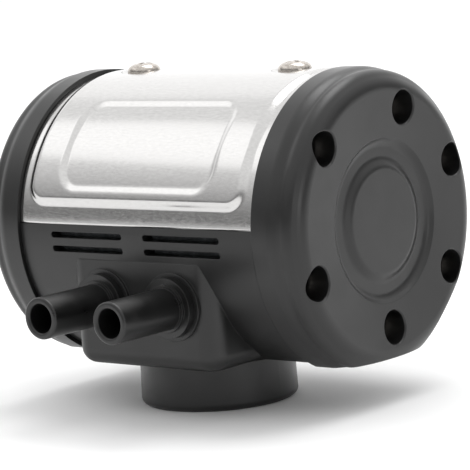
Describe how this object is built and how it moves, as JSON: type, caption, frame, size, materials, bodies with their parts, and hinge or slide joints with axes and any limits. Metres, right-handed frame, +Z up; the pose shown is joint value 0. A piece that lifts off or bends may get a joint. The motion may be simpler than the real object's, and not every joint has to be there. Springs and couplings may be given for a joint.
{
  "type": "pneumatic milking pulsator",
  "caption": "Vacuum-driven milking pulsator: round black body with a pressed steel cover, end caps over diaphragms, a slide valve, pulse-tube nozzles and a vacuum socket underneath.",
  "frame": {"origin": "centre of the vacuum socket's lower rim", "axes": "+Z up, -Z out of the vacuum socket, X along the drum, -Y the way the pulse-tube nozzles point"},
  "size_m": [0.1116, 0.1067, 0.0931],
  "materials": {
    "body_plastic": "moulded glass-filled nylon, satin, charcoal",
    "cap_plastic": "moulded glass-filled nylon, fine texture, charcoal",
    "socket_plastic": "moulded nylon, satin",
    "nozzle_plastic": "smooth moulded acetal, near black",
    "stainless": "polished pressed stainless steel",
    "screw_steel": "bright plated steel",
    "spring_steel": "spring steel strip",
    "shaft_steel": "ground stainless steel",
    "brass": "turned brass",
    "bush_plastic": "natural acetal",
    "seat_steel": "lapped stainless steel",
    "valve_plastic": "filled PTFE",
    "carrier_plastic": "moulded acetal",
    "plate_aluminium": "turned aluminium",
    "rubber": "black nitrile rubber",
    "foam": "open-cell filter foam"
  },
  "bodies": {
    "body": {"housing": "body_plastic", "vacuum_socket": "socket_plastic", "socket_seal": "rubber", "socket_sleeve": "rubber", "cover": "stainless", "cover_gasket": "rubber", "cover_screws": "screw_steel", "cover_inserts": "brass", "seat_gasket": "rubber", "valve_seat": "seat_steel", "seat_screws": "screw_steel", "pilot_seat": "seat_steel", "lever_pin": "screw_steel", "air_filter": "foam", "filter_clip": "spring_steel", "rate_screw_seal": "rubber", "end_cap_left": "cap_plastic", "end_cap_right": "cap_plastic", "cap_screws_left": "screw_steel", "cap_screws_right": "screw_steel", "cap_inserts_left": "brass", "cap_inserts_right": "brass", "diaphragm_left": "rubber", "diaphragm_right": "rubber", "shaft_bush_left": "bush_plastic", "shaft_bush_right": "bush_plastic", "shaft_seal_left": "rubber", "shaft_seal_right": "rubber", "nozzle_left": "nozzle_plastic", "nozzle_right": "nozzle_plastic", "nozzle_seal_left": "rubber", "nozzle_seal_right": "rubber"},
    "shaft_group": {"shaft": "shaft_steel", "valve_carrier": "carrier_plastic", "carrier_pin": "screw_steel", "slide_valve": "valve_plastic", "valve_spring": "spring_steel", "inner_plate_left": "plate_aluminium", "inner_plate_right": "plate_aluminium", "outer_plate_left": "plate_aluminium", "outer_plate_right": "plate_aluminium", "plate_screw_left": "screw_steel", "plate_screw_right": "screw_steel"},
    "lever": {"pilot_lever": "carrier_plastic"},
    "pilot": {"pilot_valve": "valve_plastic"},
    "rate_adjuster": {"rate_screw": "brass"}
  },
  "joints": [
    {"name": "shaft_slide", "type": "slide", "parent": "body", "child": "shaft_group", "axis": [1, 0, 0], "range_m": [-0.0035, 0.0035], "deforming": ["diaphragm_left", "diaphragm_right"]},
    {"name": "lever_turn", "type": "hinge", "parent": "body", "child": "lever", "pos_m": [0, 0.04, 0.0458], "axis": [0, 0, 1], "range_deg": [-11, 11]},
    {"name": "pilot_slide", "type": "slide", "parent": "body", "child": "pilot", "axis": [1, 0, 0], "range_m": [-0.0027, 0.0027]},
    {"name": "rate_turn", "type": "hinge", "parent": "body", "child": "rate_adjuster", "pos_m": [0.014, 0.047, 0.0373], "axis": [0, 1, 0], "range_deg": [-360, 360]}
  ],
  "couplings": [
    {"joint": "lever_turn", "follows": "shaft_slide", "rad_per_m": 51.282},
    {"joint": "pilot_slide", "follows": "shaft_slide", "ratio": 0.71795}
  ]
}
